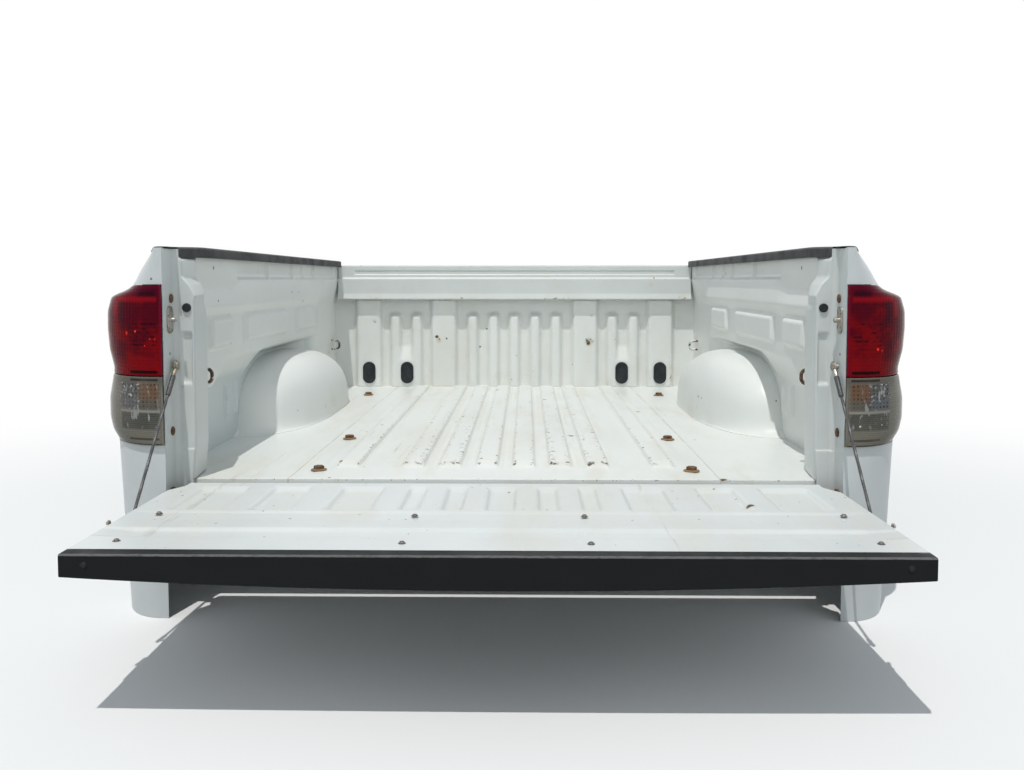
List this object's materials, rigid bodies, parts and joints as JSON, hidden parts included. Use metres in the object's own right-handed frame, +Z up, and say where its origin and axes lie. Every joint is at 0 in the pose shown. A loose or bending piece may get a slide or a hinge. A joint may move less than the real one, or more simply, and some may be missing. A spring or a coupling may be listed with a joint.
{
  "type": "pickup cargo bed with tailgate",
  "caption": "Open pickup cargo bed: ribbed floor, bulkhead, double-wall sides with wheel housings, rail caps and tail lamps, and a drop tailgate on check cables.",
  "frame": {"origin": "middle of the rear cross sill's underside, where the bed bolts to a chassis", "axes": "+X to the right seen from behind, +Y to the front of the bed, +Z up; the tailgate lies open"},
  "size_m": [1.964, 2.652, 0.8658],
  "materials": {
    "white_paint": "worn gloss paint",
    "underbody_paint": "matt paint",
    "black_plastic": "grained",
    "black_rubber": "matt",
    "rusty_steel": "rusted",
    "plated_steel": "dull plating",
    "cable_cover": "smooth cover over wire",
    "red_lens": "polished",
    "clear_lens": "polished"
  },
  "bodies": {
    "bed": {"bed_floor": "white_paint", "bulkhead_header": "white_paint", "cross_sill_1": "underbody_paint", "cross_sill_2": "underbody_paint", "cross_sill_3": "underbody_paint", "cross_sill_4": "underbody_paint", "front_bulkhead": "white_paint", "left_bump_stop": "black_rubber", "left_check_cable": "cable_cover", "left_clear_lens": "clear_lens", "left_front_bolt": "rusty_steel", "left_front_tie_down": "plated_steel", "left_hinge_trunnion": "plated_steel", "left_inner_plug": "black_rubber", "left_inner_side": "white_paint", "left_lamp_housing": "black_plastic", "left_middle_bolt": "rusty_steel", "left_outer_plug": "black_rubber", "left_outer_side": "white_paint", "left_rail_cap": "black_plastic", "left_rear_bolt": "rusty_steel", "left_rear_tie_down": "plated_steel", "left_red_lens": "red_lens", "left_striker": "plated_steel", "left_tailgate_pillar": "white_paint", "left_wheel_housing": "white_paint", "right_bump_stop": "black_rubber", "right_check_cable": "cable_cover", "right_clear_lens": "clear_lens", "right_front_bolt": "rusty_steel", "right_front_tie_down": "plated_steel", "right_hinge_trunnion": "plated_steel", "right_inner_plug": "black_rubber", "right_inner_side": "white_paint", "right_lamp_housing": "black_plastic", "right_middle_bolt": "rusty_steel", "right_outer_plug": "black_rubber", "right_outer_side": "white_paint", "right_rail_cap": "black_plastic", "right_rear_bolt": "rusty_steel", "right_rear_tie_down": "plated_steel", "right_red_lens": "red_lens", "right_striker": "plated_steel", "right_tailgate_pillar": "white_paint", "right_wheel_housing": "white_paint"},
    "tailgate": {"tailgate_inner_panel": "white_paint", "tailgate_outer_panel": "white_paint", "tailgate_top_cap": "black_plastic", "left_hinge_cup": "plated_steel", "right_hinge_cup": "plated_steel", "left_cable_stud": "plated_steel", "right_cable_stud": "plated_steel", "handle_bezel": "black_plastic", "left_latch_plate": "plated_steel", "right_latch_plate": "plated_steel"},
    "handle": {"tailgate_handle": "black_plastic"},
    "left_rod": {"left_latch_rod": "plated_steel"},
    "right_rod": {"right_latch_rod": "plated_steel"},
    "left_claw": {"left_latch_claw": "plated_steel"},
    "right_claw": {"right_latch_claw": "plated_steel"}
  },
  "joints": [
    {"name": "tailgate_hinge", "type": "hinge", "parent": "bed", "child": "tailgate", "pos_m": [0, -0.152, 0.0249], "axis": [-1, 0, 0], "range_deg": [0, 90], "deforming": ["left_check_cable", "right_check_cable"]},
    {"name": "handle_lift", "type": "hinge", "parent": "tailgate", "child": "handle", "pos_m": [0, -0.6155, -0.00425], "axis": [-1, 0, 0], "range_deg": [0, 35], "stiffness_Nm_per_rad": 1},
    {"name": "left_rod_slide", "type": "slide", "parent": "tailgate", "child": "left_rod", "axis": [1, 0, 0], "range_m": [0, 0.01]},
    {"name": "right_rod_slide", "type": "slide", "parent": "tailgate", "child": "right_rod", "axis": [-1, 0, 0], "range_m": [0, 0.01]},
    {"name": "left_claw_turn", "type": "hinge", "parent": "tailgate", "child": "left_claw", "pos_m": [-0.7586, -0.535, 0.0129], "axis": [1, 0, 0], "range_deg": [0, 75], "stiffness_Nm_per_rad": 0.15},
    {"name": "right_claw_turn", "type": "hinge", "parent": "tailgate", "child": "right_claw", "pos_m": [0.7586, -0.535, 0.0129], "axis": [1, 0, 0], "range_deg": [0, 75], "stiffness_Nm_per_rad": 0.15}
  ],
  "couplings": [
    {"joint": "left_rod_slide", "follows": "handle_lift", "m_per_rad": 0.01636},
    {"joint": "right_rod_slide", "follows": "handle_lift", "m_per_rad": 0.01636}
  ]
}
